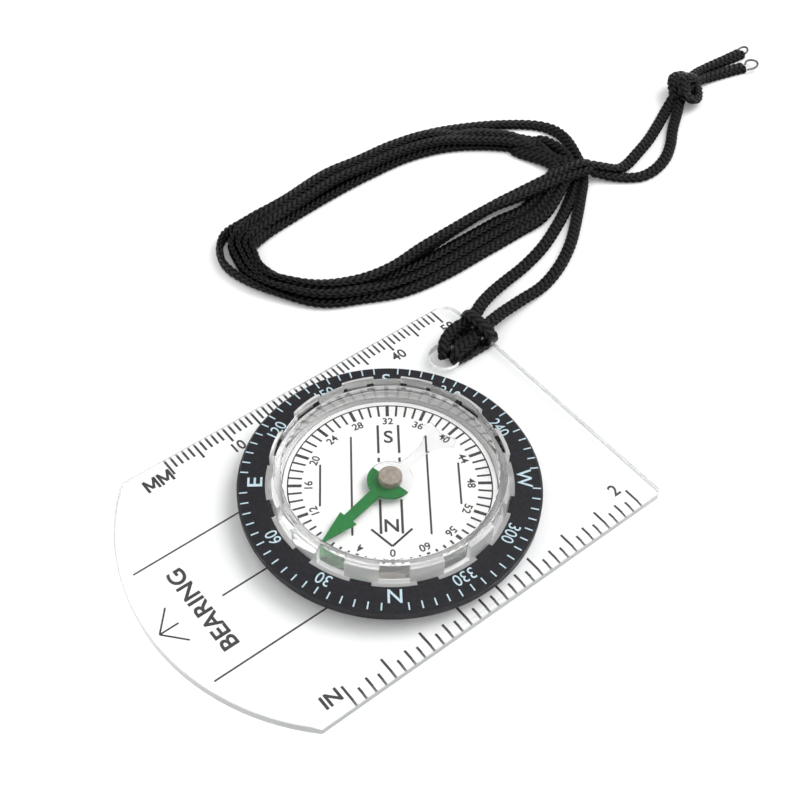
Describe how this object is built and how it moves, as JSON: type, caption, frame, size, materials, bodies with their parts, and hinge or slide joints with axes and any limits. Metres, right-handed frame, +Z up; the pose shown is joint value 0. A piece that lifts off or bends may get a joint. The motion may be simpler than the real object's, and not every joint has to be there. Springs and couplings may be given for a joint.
{
  "type": "baseplate compass",
  "caption": "Clear baseplate compass with a turning graduated dial, a magnetic needle in a clear capsule and a black braided neck lanyard.",
  "frame": {"origin": "middle of the baseplate's 70 by 48 mm outline, on the surface the compass lies on", "axes": "+Z up, +Y along the direction of travel towards the curved front edge, +X towards the millimetre scale"},
  "size_m": [0.0881, 0.1636, 0.0076],
  "materials": {
    "clear_plate": "clear polished acrylic",
    "clear_dial": "clear polished acrylic",
    "clear_cover": "clear moulded acrylic",
    "black_plastic": "fine satin moulded plastic",
    "steel": "ground",
    "needle_plastic": "satin paint",
    "magnet": "dull nickel plate",
    "brass": "turned",
    "black_cord": "tight polyester braid",
    "print_dark": "printed ink",
    "print_pale": "printed ink",
    "print_white": "printed ink",
    "clear_fluid": "clear damping liquid"
  },
  "bodies": {
    "plate": {"baseplate": "clear_plate", "lanyard_hitch": "black_cord", "lanyard_lead_a": "black_cord", "lanyard_lead_b": "black_cord", "lanyard_coil": "black_cord", "lanyard_tail_a": "black_cord", "lanyard_tail_b": "black_cord", "lanyard_knot": "black_cord", "lanyard_end_a": "black_cord", "lanyard_end_b": "black_cord"},
    "dial": {"dial_base": "clear_dial", "capsule_cover": "clear_cover", "bezel_ring": "black_plastic", "pivot_pin": "steel"},
    "needle": {"needle_arrow": "needle_plastic", "needle_magnet": "magnet", "pivot_cup": "brass"}
  },
  "joints": [
    {"name": "dial_turn", "type": "hinge", "parent": "plate", "child": "dial", "pos_m": [0, -0.0045, 0.0032], "axis": [0, 0, 1], "continuous": true},
    {"name": "needle_spin", "type": "hinge", "parent": "dial", "child": "needle", "pos_m": [0, -0.0045, 0.0045], "axis": [0, 0, 1], "continuous": true}
  ]
}
